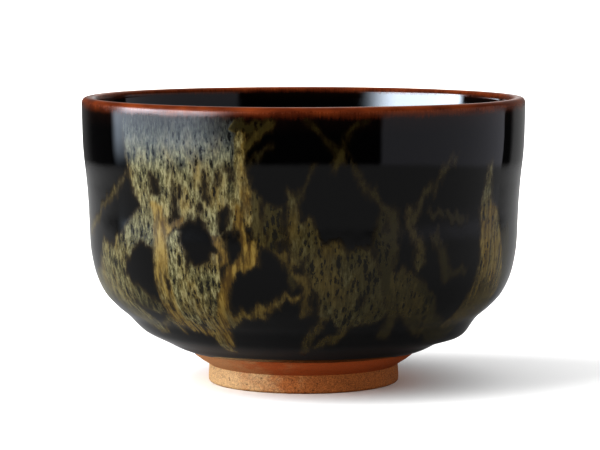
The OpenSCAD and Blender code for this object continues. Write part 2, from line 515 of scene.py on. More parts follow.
RIGHT_RUNS = (
    ash(((41, 11), (37, 15), (33, 19.5), (29.5, 22.5), (27.5, 27)), (1, 2.2), 0.25, 0.3, 0.55),
    ash(((27, 24), (26.5, 27.5), (28.5, 30), (30.6, 33), (31, 38)), (1.6, 3.2), 0.35, 0.3, 0.61),
    ash(((33, 25), (39, 26), (45, 28)), (2, 2.4), 0.1, 0.6, 0.30),
    ash(((35, 31), (38, 36), (39.5, 42)), (1.8, 2.8), 0.2, 0.5, 0.46),
    ash(((39, 41), (46, 41)), (2, 1.6), 0.15, 0.5, 0.34),
    ash(((54.6, 14), (55, 20), (55.4, 28)), (2.2, 8), 0.2, 0.6, 0.79),
    ash(((56, 27), (58, 36), (60, 45)), (9, 18), 0.45, 0.5, 0.92),
    ash(((56.5, 34), (58.5, 42), (60.5, 49)), (3, 6), 0.75, 0.2, 1.00),
    ash(((59, 46), (55, 54), (50, 60)), (17, 9), 0.45, 0.5, 0.73),
    ash(((26, 44), (32, 51), (40, 58)), (10, 9), 0.4, 0.7, 0.61),
    ash(((40, 57), (47, 61), (54, 61)), (8, 8), 0.45, 0.55, 0.51),
    ash(((61, 46), (64, 53), (66, 58)), (8, 5), 0.5, 0.3, 0.67),
    ash(((66, 33), (69, 45)), (5, 7), 0.15, 0.65, 0.49),
    ash(((30, 45), (35, 50), (41, 57)), (5, 5), 0.4, 0.6, 0.43),
    ash(((45, 58), (53, 62)), (4, 4), 0.4, 0.5, 0.34),
)
LEFT_RUNS = (
    ash(((-64, 41), (-61, 50), (-54, 59)), (12, 9), 0.15, 0.45, 0.85),
    ash(((-51, 17), (-56, 20), (-62, 25), (-68, 29), (-77, 33)), (1.2, 2.4), 0.3, 0.2, 0.73),
    ash(((-43, 27), (-48, 31), (-53, 35), (-58, 39), (-64, 44)), (6, 9), 0.1, 0.8, 0.86),
    ash(((-60, 42), (-70, 47), (-80, 50)), (10, 9), 0.15, 0.55, 0.85),
    ash(((-57, 45), (-59, 52)), (9, 6), 0.15, 0.65, 0.86),
    ash(((-52, 48), (-45, 51)), (6.5, 6), 0.15, 0.75, 0.73),
    ash(((-41.5, 55), (-46, 58.5), (-50, 61), (-54, 63)), (2, 2.6), 0.35, 0.1, 0.79),
    ash(((-84, 40), (-86, 52), (-85, 60)), (5, 6), 0.3, 0.4, 0.73),
)


@dataclass
class KilnChance:
    """Draws ash glaze falls by chance for the sides that no listed stroke covers.

    Attributes:
        seed: What the falls are drawn from.
        start: The azimuth of the first fall, in degrees.
        end: The azimuth that the last fall stays before, in degrees.
    """

    FALL_WIDE, FALL_APART = (14, 40), (4, 16)     # degrees
    FALL_TOP, FALL_LENGTH = (3, 16), (24, 40)     # millimetres
    VEIL_ROOM, STREAM_ROOM, GAP_ROOM = 5, 7, 2.4  # degrees of a fall's width for each
    LOWEST = 68.0                                 # millimetres below the lip

    seed: int = 11
    start: float = 84.0
    end: float = 262.0

    def fall(self, draw: np.random.Generator, azimuth: float, wide: float) -> list[Stroke]:
        """Draws one fall: a lacy veil, streams that gather under it, and gaps.

        Args:
            draw: The random draws.
            azimuth: The fall's middle in degrees.
            wide: Its width in degrees.

        Returns:
            The fall's strokes.
        """
        top, length = draw.uniform(*self.FALL_TOP), draw.uniform(*self.FALL_LENGTH)
        strokes = []
        for side in np.linspace(-0.45, 0.45, round(wide / self.VEIL_ROOM)):
            lean, at = draw.uniform(-4, 4), azimuth + side * wide
            begin, end = top + draw.uniform(0, 10), top + length * draw.uniform(0.5, 1.1)
            strokes.append(ash(((at, begin), (at + lean, end)),
                               (draw.uniform(5, 9), draw.uniform(5, 9)), draw.uniform(0.1, 0.4),
                               draw.uniform(0.45, 0.85), draw.uniform(0.72, 1.0)))
        for _ in range(round(wide / self.STREAM_ROOM)):
            strokes.append(self.stream(draw, azimuth + draw.uniform(-0.5, 0.5) * wide,
                                       top + length * draw.uniform(0.4, 0.9)))
        for _ in range(2):
            strokes.append(self.trail(draw, azimuth + draw.choice((-0.5, 0.5)) * wide,
                                      top + length / 3))
        for _ in range(round(wide / self.GAP_ROOM)):
            strokes.append(gap(azimuth + draw.uniform(-0.45, 0.45) * wide,
                               top + draw.uniform(0.3, 1) * length, draw.uniform(0.8, 4.5),
                               draw.uniform(3.5, 9), draw.uniform(-1, 1)))
        return strokes

    def stream(self, draw: np.random.Generator, azimuth: float, top: float) -> Stroke:
        """Draws a golden stream that wanders down from a place on the wall.

        Args:
            draw: The random draws.
            azimuth: The place's azimuth in degrees.
            top: Its distance below the lip in millimetres.

        Returns:
            The stream.
        """
        path, lean = [(azimuth, top)], draw.uniform(-1.2, 1.2)
        for _ in range(5):
            lean += draw.uniform(-1.4, 1.4)
            azimuth, top = azimuth + lean, top + draw.uniform(3, 5)
            path.append((azimuth, min(top, self.LOWEST)))
        return ash(tuple(path), (draw.uniform(1.8, 3), draw.uniform(2.6, 4.6)),
                   draw.uniform(0.5, 0.85), 0.08, draw.uniform(0.75, 0.95))

    @staticmethod
    def trail(draw: np.random.Generator, azimuth: float, top: float) -> Stroke:
        """Draws a thin trail that slants away from a place on the wall.

        Args:
            draw: The random draws.
            azimuth: The place's azimuth in degrees.
            top: Its distance below the lip in millimetres.

        Returns:
            The trail.
        """
        slant = draw.choice((-1, 1)) * draw.uniform(1.0, 1.8)
        path = [(azimuth, top)]
        for step in range(1, 5):
            path.append((azimuth + slant * step * 3.4, top + step * draw.uniform(2.4, 4)))
        return ash(tuple(path), (draw.uniform(2, 3), 1.2), draw.uniform(0.2, 0.6), 0.35,
                   draw.uniform(0.45, 0.7))

    def strokes(self) -> list[Stroke]:
        """Draws every fall.

        Returns:
            The strokes of all the falls.
        """
        draw = np.random.default_rng(self.seed)
        made, azimuth = [], self.start
        while azimuth < self.end:
            wide = draw.uniform(*self.FALL_WIDE)
            made += self.fall(draw, azimuth + wide / 2, wide)
            azimuth += wide + draw.uniform(*self.FALL_APART)
        return made


@dataclass
class AshGlaze:
    """All the strokes of ash glaze on the outer coat, and what they come to at each place.

    Attributes:
        strokes: The strokes, in the order in which they are laid.
        sideways: How far the strokes are bent round the bowl: each noise and its size, in degrees.
        downwards: How far they are bent up and down: each noise and its size, in millimetres.
    """

    MM_PER_DEGREE = 1.012  # round the wall, where it is 58 mm from the axis
    OUTSIDE = -4.0         # the depth where there is no stroke, in millimetres
    MELD = 0.7             # how softly one stroke takes over from another, in millimetres

    strokes: list[Stroke] = field(default_factory=lambda: [
        *MAIN_FALL, *MAIN_GAPS, *MIDDLE_RUNS, *RIGHT_RUNS, *LEFT_RUNS, *KilnChance().strokes()])
    sideways: tuple[tuple[WallNoise, float], ...] = (
        (WallNoise(3, 9, 12), 0.8), (WallNoise(4, 3, 5), 0.4))
    downwards: tuple[tuple[WallNoise, float], ...] = (
        (WallNoise(5, 9, 9), 0.9), (WallNoise(6, 3, 3.5), 0.5), (WallNoise(7, 1.5, 26), 1.3))

    def laid(self, azimuth: np.ndarray, below: np.ndarray) -> dict[str, np.ndarray]:
        """Works out what the strokes come to at places on the wall.

        Args:
            azimuth: Azimuths in degrees.
            below: Distances below the lip in millimetres.

        Returns:
            The depth inside the ash glaze in millimetres, and how golden, lacy and opaque it is.
        """
        aside, down = (sum(size * noise.at(azimuth, below) for noise, size in bends)
                       for bends in (self.sideways, self.downwards))
        azimuth, below = azimuth + aside, below + down
        depth = np.full(len(azimuth), self.OUTSIDE)
        marks = {name: np.zeros(len(azimuth)) for name in ("gold", "lace", "body")}
        for stroke in self.strokes:
            middle = sum(a for a, _ in stroke.path) / len(stroke.path)
            reach = max(abs(a - middle) for a, _ in stroke.path)
            reach += max(stroke.width) / 2 - self.OUTSIDE
            near = np.abs(wrapped(azimuth - middle)) < reach
            if not near.any():
                continue
            inside = stroke.depth(azimuth[near], below[near])
            if stroke.effect is Effect.BARE:
                depth[near] = np.minimum(depth[near], -inside)
                continue
            takes = smooth_step(-self.MELD, self.MELD, inside - np.maximum(depth[near], -self.MELD))
            for name, mark in marks.items():
                mark[near] += (getattr(stroke, name) - mark[near]) * takes
            depth[near] = np.maximum(depth[near], inside)
        return {"depth": depth, **marks}


# --- Meshes --------------------------------------------------------------------------------------


def finished_mesh(bm: bmesh.types.BMesh, name: str) -> bpy.types.Mesh:
    """Turns a bmesh into a mesh.

    Args:
        bm: The bmesh, which is freed.
        name: The mesh's name.

    Returns:
        The mesh.
    """
    mesh = bpy.data.meshes.new(name)
    bm.to_mesh(mesh)
    bm.free()
    return mesh


class Side(Enum):
    """Which face of a coat a row of points is on."""

    SKIN = 1.0
    CLAY = 0.0


@dataclass(frozen=True)
class Row:
    """One point of an outline that is turned into a piece.

    Attributes:
        along: Its distance along the wall's line, or any number that names it.
        radius: Its distance from the axis, in metres.
        height: Its height, in metres.
        side: Which face of the coat it is on.
    """

    along: float
    radius: float
    height: float
    side: Side = Side.SKIN

    @classmethod
    def each(cls, along: np.ndarray, points: np.ndarray, side: Side = Side.SKIN) -> "list[Row]":
        """Returns a row for each distance along the line and its (radius, height)."""
        return [cls(float(a), float(r), float(z), side) for a, (r, z) in zip(along, points)]


@dataclass
class Turned:
    """A closed outline turned about Z into a fine mesh that remembers its rows.

    Attributes:
        name: The piece's name.
        rows: The outline, in order.
        columns: Faces round the piece.
        closed: Whether the outline's end joins its start. An open one starts and ends on the axis.
        coarse: Faces round the piece before each is cut into finer ones.
        weld: How close together two points count as one, in metres.
    """

    name: str
    rows: list[Row]
    columns: int
    closed: bool = True
    coarse: int = 60
    weld: float = 0.002 * MM

    def mesh(self) -> bpy.types.Mesh:
        """Spins the outline, cuts each step into finer ones and closes seams and poles.

        Returns:
            The mesh, with its rows' distances and sides as attributes.
        """
        bm = bmesh.new()
        along = bm.verts.layers.float.new("along")
        side = bm.verts.layers.float.new("side")
        verts = []
        for row in self.rows:
            vert = bm.verts.new((0.0, -row.radius, row.height))
            vert[along], vert[side] = row.along, row.side.value
            verts.append(vert)
        pairs = list(zip(verts, verts[1:]))
        if self.closed:
            pairs.append((verts[-1], verts[0]))
        edges = [bm.edges.new(pair) for pair in pairs]
        bmesh.ops.spin(bm, geom=verts + edges, cent=(0, 0, 0), axis=(0, 0, 1), dvec=(0, 0, 0),
                       angle=math.tau, steps=self.coarse, use_merge=True)
        rings = [edge for edge in bm.edges if self.is_ring(edge)]
        bmesh.ops.subdivide_edges(bm, edges=rings, cuts=self.columns // self.coarse - 1,
                                  use_grid_fill=True)
        bmesh.ops.remove_doubles(bm, verts=bm.verts, dist=self.weld)
        bmesh.ops.recalc_face_normals(bm, faces=bm.faces)
        mesh = finished_mesh(bm, self.name)
        mesh.shade_smooth()
        return mesh

    def is_ring(self, edge: bmesh.types.BMEdge) -> bool:
        """Tells whether an edge runs round the axis and not along the outline.

        Args:
            edge: The edge.

        Returns:
            Whether its ends are equally high and equally far out.
        """
        a, b = (vert.co for vert in edge.verts)
        level = abs(a.z - b.z) < self.weld
        return level and abs(math.hypot(a.x, a.y) - math.hypot(b.x, b.y)) < self.weld


@dataclass
class Places:
    """A piece's points, taken out of its mesh to be moved and marked, and put back.

    Attributes:
        mesh: The mesh that the points belong to.
    """

    SHARP = 55  # degrees past which an edge keeps its corner

    mesh: bpy.types.Mesh

    def __post_init__(self) -> None:
        """Reads the points and what their rows remember."""
        flat = np.zeros(len(self.mesh.vertices) * 3, np.float32)
        self.mesh.vertices.foreach_get("co", flat)
        self.points = flat.reshape(-1, 3).astype(float)
        self.along = self.read("along")
        self.skin = self.read("side") > 0.5
        self.azimuth = np.degrees(np.arctan2(self.points[:, 0], -self.points[:, 1]))
        self.radius = np.hypot(self.points[:, 0], self.points[:, 1])
        self.height = self.points[:, 2]

    def read(self, name: str) -> np.ndarray:
        """Reads one of the mesh's attributes.

        Args:
            name: The attribute's name.

        Returns:
            Its value at each point.
        """
        values = np.zeros(len(self.mesh.vertices), np.float32)
        self.mesh.attributes[name].data.foreach_get("value", values)
        return values.astype(float)

    def put(self, radius: np.ndarray, height: np.ndarray) -> None:
        """Puts each point at a radius and a height, at its own azimuth."""
        turn = np.radians(self.azimuth)
        self.points = np.column_stack([radius * np.sin(turn), -radius * np.cos(turn), height])

    def mark(self, name: str, values: np.ndarray) -> None:
        """Keeps one number a point on the mesh, for a finish to read."""
        attribute = self.mesh.attributes.new(name, "FLOAT", "POINT")
        attribute.data.foreach_set("value", values.astype(np.float32))

    def mark_vector(self, name: str, values: np.ndarray) -> None:
        """Keeps one vector a point on the mesh, for a finish to read."""
        attribute = self.mesh.attributes.new(name, "FLOAT_VECTOR", "POINT")
        attribute.data.foreach_set("vector", values.astype(np.float32).ravel())

    def done(self, thrown: HandThrown) -> None:
        """Puts the points back into the mesh, settled as the thrown form wanders.

        Args:
            thrown: How the thrown form wanders.
        """
        settled = thrown.settle(self.points)
        self.mesh.vertices.foreach_set("co", settled.astype(np.float32).ravel())
        for name in ("along", "side"):
            self.mesh.attributes.remove(self.mesh.attributes[name])
        self.mesh.update()
        self.mesh.set_sharp_from_angle(angle=math.radians(self.SHARP))


# --- Finishes ------------------------------------------------------------------------------------


class Bench:
    """Lays out and joins the nodes of one material or world.

    Attributes:
        tree: The node tree.
        space: The coordinates that the patterns follow, in millimetres.
    """

    def __init__(self, owner: bpy.types.Material | bpy.types.World) -> None:
        """Empties the owner's node tree.

        Args:
            owner: The material or world to lay out.
        """
        owner.use_nodes = True
        self.tree = owner.node_tree
        self.tree.nodes.clear()
        self.space: Socket | None = None

    def node(self, kind: str, inputs: dict | None = None, **settings: object) -> bpy.types.Node:
        """Adds a node.

        Args:
            kind: The node's type.
            inputs: Its inputs by name or number: a socket to join, or a value to set.
            settings: Its other properties.

        Returns:
            The node.
        """
        made = self.tree.nodes.new(kind)
        for name, value in settings.items():
            setattr(made, name, value)
        for name, value in (inputs or {}).items():
            if isinstance(value, Socket):
                self.tree.links.new(value, made.inputs[name])
            else:
                made.inputs[name].default_value = value
        return made

    def attribute(self, name: str, output: str = "Fac") -> Socket:
        """Returns a mesh attribute."""
        return self.node("ShaderNodeAttribute", attribute_name=name).outputs[output]

    def math(self, kind: str, a: object, b: object = 0.0, c: object = 0.0) -> Socket:
        """Returns the result of a Math node."""
        return self.node("ShaderNodeMath", {0: a, 1: b, 2: c}, operation=kind).outputs[0]

    def plus(self, a: object, b: object) -> Socket:
        """Returns a plus b."""
        return self.math("ADD", a, b)

    def times(self, a: object, b: object) -> Socket:
        """Returns a times b."""
        return self.math("MULTIPLY", a, b)

    def scaled(self, value: object, by: object, more: object) -> Socket:
        """Returns a value times by, plus more."""
        return self.math("MULTIPLY_ADD", value, by, more)

    def centred(self, noise: Socket, reach: float) -> Socket:
        """Returns noise from 0 to 1 as noise from -reach to reach."""
        return self.scaled(noise, 2 * reach, -reach)

    def turn(self, axes: bpy.types.Node) -> Socket:
        """Returns the azimuth of a place's separated axes, in radians."""
        return self.math("ARCTAN2", axes.outputs[0], self.times(axes.outputs[1], -1.0))

    def step(self, value: object, low: object, high: object, bottom: float = 0.0,
             top: float = 1.0) -> Socket:
        """Returns a value that goes smoothly from bottom, at low, to top, at high."""
        return self.node("ShaderNodeMapRange", {0: value, 1: low, 2: high, 3: bottom, 4: top},
                         interpolation_type="SMOOTHSTEP").outputs[0]

    def blend(self, share: object, a: object, b: object) -> Socket:
        """Mixes two colours.

        Args:
            share: How much of the second there is, from 0 to 1.
            a: The first, a socket or a colour.
            b: The second, a socket or a colour.

        Returns:
            The mix.
        """
        a, b = (value if isinstance(value, Socket) else (*value, 1.0) for value in (a, b))
        return self.node("ShaderNodeMix", {0: share, 6: a, 7: b}, data_type="RGBA").outputs[2]

    def dimmed(self, colour: Socket, share: Socket) -> Socket:
        """Returns a colour times a number."""
        made = self.node("ShaderNodeVectorMath", {0: colour, 3: share}, operation="SCALE")
        return made.outputs[0]

    def stretched(self, wide: float, tall: float, shift: float = 0.0) -> Socket:
        """Stretches the bench's coordinates.

        Args:
            wide: How many millimetres across come to one unit.
            tall: How many millimetres up and down come to one unit.
            shift: What sets a pattern apart from another of the same size.

        Returns:
            The stretched coordinates.
        """
        return self.node("ShaderNodeMapping", {
            "Vector": self.space, "Scale": (1 / wide, 1 / wide, 1 / tall),
            "Location": (shift, shift, shift)}).outputs[0]

    def patches(self, wide: float, tall: float, shift: float = 0.0, detail: float = 2.0,
                roughness: float = 0.5) -> Socket:
        """Lays noise in patches.

        Args:
            wide: A patch's width in millimetres.
            tall: Its height in millimetres.
            shift: What sets these patches apart from others.
            detail: How many finer layers of noise there are.
            roughness: How strong each finer layer is.

        Returns:
            The noise, from 0 to 1.
        """
        return self.node("ShaderNodeTexNoise", {
            "Vector": self.stretched(wide, tall, shift), "Scale": 1.0, "Detail": detail,
            "Roughness": roughness}).outputs["Fac"]

    def bump(self, height: Socket, depth: float, **under: Socket) -> Socket:
        """Bumps the surface.

        Args:
            height: The height, from 0 to 1.
            depth: What a height of 1 comes to, in metres.
            under: The Normal to bump further, if any.

        Returns:
            The normal.
        """
        inputs = {"Height": height, "Distance": depth, "Strength": 1.0, **under}
        return self.node("ShaderNodeBump", inputs).outputs[0]

    def surface(self, colour: Socket, roughness: Socket, normal: Socket, shine: object) -> None:
        """Adds the shader of a fired surface, and the output.

        Args:
            colour: The base colour.
            roughness: The roughness.
            normal: The bumped normal.
            shine: How strongly it reflects, a socket or a number.
        """
        self.output("ShaderNodeBsdfPrincipled", {
            "Base Color": colour, "Roughness": roughness, "Normal": normal, "IOR": GLASS_IOR,
            "Specular IOR Level": shine})

    def output(self, kind: str, inputs: dict, output: str = "ShaderNodeOutputMaterial") -> None:
        """Adds the last shader and joins it to the output."""
        self.node(output, {"Surface": self.node(kind, inputs).outputs[0]})


@dataclass(frozen=True)
class AshTones:
    """Three tones of ash glaze, from where it is thin to where it lies thick.

    Attributes:
        deep: Its colour in the hollows of its texture.
        middle: Its main colour.
        light: Its colour on the crests.
    """

    deep: Colour
    middle: Colour
    light: Colour


@dataclass(frozen=True)
class IronGlaze:
    """Black iron glaze that breaks to rust brown where it thins on the lip.

    Attributes:
        name: The material's name.
        with_ash: Whether ash glaze runs over it.
        black: Its colour where it is thick.
        brown: Its colour just below the lip.
        rust: Its colour on the lip.
        dark_rust: The darker patches of the lip.
        olive: The tones of the ash glaze's lacy falls.
        gold: The tones of its streams.
        amber: The ash glaze's colour at its feathered edges.
        sheen_blue: Its pale blue painted sheen just under the lip, where it is thin.
        thin: Its colour where a whole run of it is thin.
        gloss: Its roughness.
    """

    RUST_ENDS = (1.7, -1.2)  # millimetres below the lip where the rust is gone and where it is full
    BROWN_END = 6.0          # millimetres below the lip where the brown is gone
    RUST_MATT = 0.28         # how much rougher the rust is
    ASH_MATT = 0.17          # how much rougher the ash glaze is
    PEEL = 0.012 * MM        # the depth of the glaze's soft unevenness
    ASH_RELIEF = 0.010 * MM  # how far the ash glaze stands out

    name: str
    with_ash: bool = False
    black: Colour = (0.0014, 0.0013, 0.0015)
    brown: Colour = (0.012, 0.005, 0.003)
    rust: Colour = (0.145, 0.034, 0.007)
    dark_rust: Colour = (0.080, 0.017, 0.004)
    olive: AshTones = AshTones((0.021, 0.020, 0.008), (0.080, 0.073, 0.033), (0.212, 0.200, 0.112))
    sheen_blue: Colour = (0.075, 0.088, 0.092)
    gold: AshTones = AshTones((0.050, 0.028, 0.004), (0.118, 0.076, 0.014), (0.185, 0.131, 0.034))
    amber: Colour = (0.024, 0.015, 0.003)
    thin: Colour = (0.036, 0.029, 0.008)
    gloss: float = 0.03

    def lip_share(self, bench: Bench) -> Socket:
        """Lays the lip's rust, with a streaky lower edge.

        Args:
            bench: The bench of the material.

        Returns:
            How much of the rust shows, from 0 to 1.
        """
        fringe = bench.patches(0.5, 3.0, detail=3.0, roughness=0.65)
        sway = bench.patches(9.0, 9.0, 3.0, detail=1.0)
        edge = bench.plus(bench.centred(fringe, 1.0), bench.centred(sway, 0.5))
        return bench.step(bench.plus(bench.attribute("lip"), edge), *self.RUST_ENDS)

    def iron(self, bench: Bench, share: Socket) -> Socket:
        """Colours the iron glaze, from black through brown to rust on the lip.

        Args:
            bench: The bench of the material.
            share: How much of the lip's rust shows.

        Returns:
            The iron glaze's colour.
        """
        mottle = bench.patches(7.0, 2.0, 7.0, detail=3.0)
        rust = bench.blend(bench.step(mottle, 0.3, 0.7), self.dark_rust, self.rust)
        near = bench.step(bench.attribute("lip"), self.BROWN_END, 0.0)
        brown = bench.blend(bench.times(near, bench.patches(0.7, 5.0, 1.0)), self.black, self.brown)
        worn = bench.times(bench.attribute("worn"), 0.75)
        return bench.blend(share, bench.blend(worn, brown, self.dark_rust), rust)

    @staticmethod
    def toned(bench: Bench, texture: Socket, tones: AshTones) -> Socket:
        """Returns a colour that goes through three tones as a texture goes from 0 to 1."""
        low = bench.blend(bench.step(texture, 0.0, 0.55), tones.deep, tones.middle)
        return bench.blend(bench.step(texture, 0.5, 1.0), low, tones.light)

    def ash(self, bench: Bench) -> tuple[Socket, Socket]:
        """Lays the ash glaze's pattern.

        Args:
            bench: The bench of the material.

        Returns:
            The ash glaze's colour, and how much of it covers the iron glaze.
        """
        depth, gold, lace, body = (
            bench.attribute("ash_" + name) for name in ("depth", "gold", "lace", "body"))
        lip = bench.attribute("lip")
        ragged = bench.patches(1.4, 2.6, detail=3.0, roughness=0.6)
        grain = bench.patches(0.45, 1.7, 5.0, detail=3.0, roughness=0.62)
        flow = bench.patches(1.2, 6.5, 9.0)
        cloud = bench.patches(5.0, 9.0, 6.0)

        # The strokes' edges are ragged, and the more so the thinner they are.
        wander = bench.plus(bench.centred(ragged, 1.2), bench.centred(grain, 0.5))
        inside = bench.scaled(wander, bench.scaled(body, -0.8, 1.8), depth)
        large, large_net = self.pores(bench, lace, 1.35, 4.0, 2.0)
        small, small_net = self.pores(bench, lace, 0.85, 2.3, 11.0)
        holes = bench.times(bench.math("MAXIMUM", large, small), bench.step(inside, -0.3, 0.9))
        net = bench.scaled(large_net, 0.55, bench.times(small_net, 0.45))

        # Under the lip it is thin, and streams lie thicker there than the lacy falls.
        hanging = bench.scaled(gold, 18.0, bench.plus(lip, bench.centred(grain, 6.0)))
        veil = bench.times(bench.scaled(body, 0.65, 0.35),
                           bench.step(hanging, 2.0, 15.0, 0.10, 1.0))
        cover = bench.times(bench.times(bench.step(inside, -1.35, 0.85), veil),
                            bench.scaled(holes, -0.82, 1.0))

        texture = bench.scaled(grain, 0.75, bench.times(cloud, 0.30))
        rough = bench.step(bench.scaled(net, 0.40, texture), 0.42, 1.05)
        smooth = bench.step(bench.scaled(grain, 0.35, flow), 0.50, 0.86, 0.1, 1.0)
        tinge = bench.step(bench.plus(cloud, gold), 0.45, 1.1)
        colour = bench.blend(tinge, self.toned(bench, rough, self.olive),
                             self.toned(bench, smooth, self.gold))
        colour = bench.blend(bench.step(body, 0.45, 1.05), self.thin, colour)
        # Painted sheen: under the lip the olive ash is tinted pale blue, like the softbox's
        # reflection.
        sheen_share = bench.times(bench.step(lip, 17.0, 3.0, 0.0, 0.72), bench.step(gold, 0.34, 0.18))
        colour = bench.blend(sheen_share, colour, self.sheen_blue)
        return bench.blend(bench.step(inside, 1.4, -0.5), colour, self.amber), cover

    @staticmethod
    def pores(bench: Bench, lace: Socket, wide: float, tall: float,
              shift: float) -> tuple[Socket, Socket]:
        """Opens lens-shaped pores in the ash glaze.

        Args:
            bench: The bench of the material.
            lace: How lacy the ash glaze is, from 0 to 1.
            wide: The room that one pore has, across, in millimetres.
            tall: The room that one pore has, up and down, in millimetres.
            shift: What sets these pores apart from others.

        Returns:
            1 in a pore and 0 outside it, and how clear of the pores a place is, from 0 to 1.
        """
        sway = bench.node("ShaderNodeTexNoise", {
            "Vector": bench.stretched(wide * 1.4, tall * 1.2, shift), "Detail": 1.0})
        bent = bench.node("ShaderNodeVectorMath", {
            0: bench.stretched(wide, tall, shift), 1: bench.dimmed(sway.outputs["Color"], 0.8)},
            operation="ADD")
        cells = bench.node("ShaderNodeTexVoronoi", {"Vector": bent.outputs[0], "Scale": 1.0})
        chance = bench.node("ShaderNodeSeparateColor", {0: cells.outputs["Color"]}).outputs[0]
        size = bench.times(bench.step(chance, 0.1, 0.95), bench.scaled(lace, 0.44, 0.08))
        clear = bench.math("SUBTRACT", cells.outputs["Distance"], size)
        return bench.step(clear, 0.08, -0.08), bench.step(clear, 0.0, 0.6)

    def make(self) -> bpy.types.Material:
        """Makes the material.

        Returns:
            The finished material.
        """
        material = bpy.data.materials.new(self.name)
        bench = Bench(material)
        bench.space = bench.attribute("run_space", "Vector")
        share = self.lip_share(bench)
        colour = self.iron(bench, share)
        fine = bench.patches(0.8, 0.8, 4.0)
        roughness = bench.step(fine, 0.2, 0.8, self.gloss * 0.7, self.gloss * 1.5)
        roughness = bench.scaled(share, self.RUST_MATT, roughness)
        normal = bench.bump(bench.patches(4.5, 4.5, 2.0, detail=1.0), self.PEEL)
        if self.with_ash:
            ash_colour, cover = self.ash(bench)
            colour = bench.blend(cover, colour, ash_colour)
            roughness = bench.scaled(cover, self.ASH_MATT, roughness)
            normal = bench.bump(cover, self.ASH_RELIEF, Normal=normal)
        bench.surface(colour, roughness, normal, bench.scaled(share, -0.28, 0.5))
        return material


@dataclass(frozen=True)
class BareClay:
    """Unglazed stoneware, pale on the lit side and painted darker and redder in shade elsewhere.

    Attributes:
        name: The material's name.
        pale: Its colour on the pale side.
        shaded_tone: Its colour away from the key light, darker and redder as painted shade.
        sand: How sandy it is, from 0, smooth slip, to 1, coarse.
        lit_azimuth: The middle of the pale side, which faces the key light, in degrees.
        speck: The colour of its iron specks.
        shine: How strongly it reflects.
    """

    name: str
    pale: Colour
    shaded_tone: Colour
    sand: float
    lit_azimuth: float = -66.0
    speck: Colour = (0.075, 0.030, 0.012)
    shine: float = 0.18

    def make(self) -> bpy.types.Material:
        """Makes the material.

        Returns:
            The finished material.
        """
        material = bpy.data.materials.new(self.name)
        bench = Bench(material)
        metres = bench.node("ShaderNodeTexCoord").outputs["Object"]
        bench.space = bench.node("ShaderNodeMapping", {
            "Vector": metres, "Scale": (1 / MM, 1 / MM, 1 / MM)}).outputs[0]
        cloud = bench.patches(6.0, 3.0, detail=3.0, roughness=0.6)
        grit = bench.patches(0.34, 0.30, roughness=0.7)
        coarse = bench.patches(1.0, 0.8, 4.0, detail=3.0, roughness=0.6)

        # Painted shade: darker and redder the further round from the key light's side.
        turn = bench.turn(bench.node("ShaderNodeSeparateXYZ", {0: metres}))
        away = bench.math("ABSOLUTE", bench.math("SUBTRACT", turn, math.radians(self.lit_azimuth)))
        shade_share = bench.step(bench.plus(away, bench.centred(cloud, 0.7)), 0.35, 1.15)
        light = bench.step(bench.plus(grit, bench.times(coarse, 0.4)), 0.52, 0.88,
                           1.0 - 0.34 * self.sand, 1.0 + 0.30 * self.sand)
        colour = bench.dimmed(bench.blend(shade_share, self.pale, self.shaded_tone), light)

        dots = bench.node("ShaderNodeTexVoronoi", {
            "Vector": bench.stretched(1.5, 1.2), "Scale": 1.0})
        chance = bench.node("ShaderNodeSeparateColor", {0: dots.outputs["Color"]}).outputs[1]
        iron = bench.times(bench.step(dots.outputs["Distance"], 0.24, 0.12),
                           bench.step(chance, 0.45, 0.6))
        colour = bench.blend(bench.times(iron, 0.7 * self.sand), colour, self.speck)
        relief = bench.plus(bench.times(grit, 0.6), coarse)
        normal = bench.bump(relief, (0.02 + 0.12 * self.sand) * MM)
        bench.surface(colour, bench.step(coarse, 0.3, 0.7, 0.62, 0.82), normal, self.shine)
        return material


# --- Pieces --------------------------------------------------------------------------------------


def spiral(distance: np.ndarray, pitch: float, azimuth: np.ndarray) -> np.ndarray:
    """Returns the ridges, from -1 to 1, that a tool leaves as it moves by a pitch each turn."""
    return np.sin(math.tau * (distance / pitch - azimuth / 360))


@dataclass
class Piece:
    """What every piece of the bowl is made with.

    Attributes:
        line: The wall's line.
        thrown: How the thrown form wanders.
        columns: Faces round the piece.
    """

    line: WallLine
    thrown: HandThrown
    columns: int = 480

    def turned(self, name: str, rows: list[Row], closed: bool = True) -> Places:
        """Returns the points of an outline that is turned into a piece."""
        return Places(Turned(name, rows, self.columns, closed).mesh())

    def show(self, places: Places, finish: IronGlaze | BareClay, slot: str,
             *nodes: str) -> bpy.types.Object:
        """Makes a turned mesh a piece of the bowl that stands for CAD nodes.

        Args:
            places: The mesh's points, where they belong.
            finish: Its finish.
            slot: The record's slot that the finish belongs to. It is not used.
            nodes: The CAD nodes that the piece stands for.

        Returns:
            The piece.
        """
        places.done(self.thrown)
        mesh = places.mesh
        mesh.materials.append(finish.make())
        piece = bpy.data.objects.new(mesh.name, mesh)
        bpy.context.scene.collection.objects.link(piece)
        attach(piece, BODY)
        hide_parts(*nodes)
        log.info("%s: %d faces, stands for %s", piece.name, len(mesh.polygons), ", ".join(nodes))
        return piece


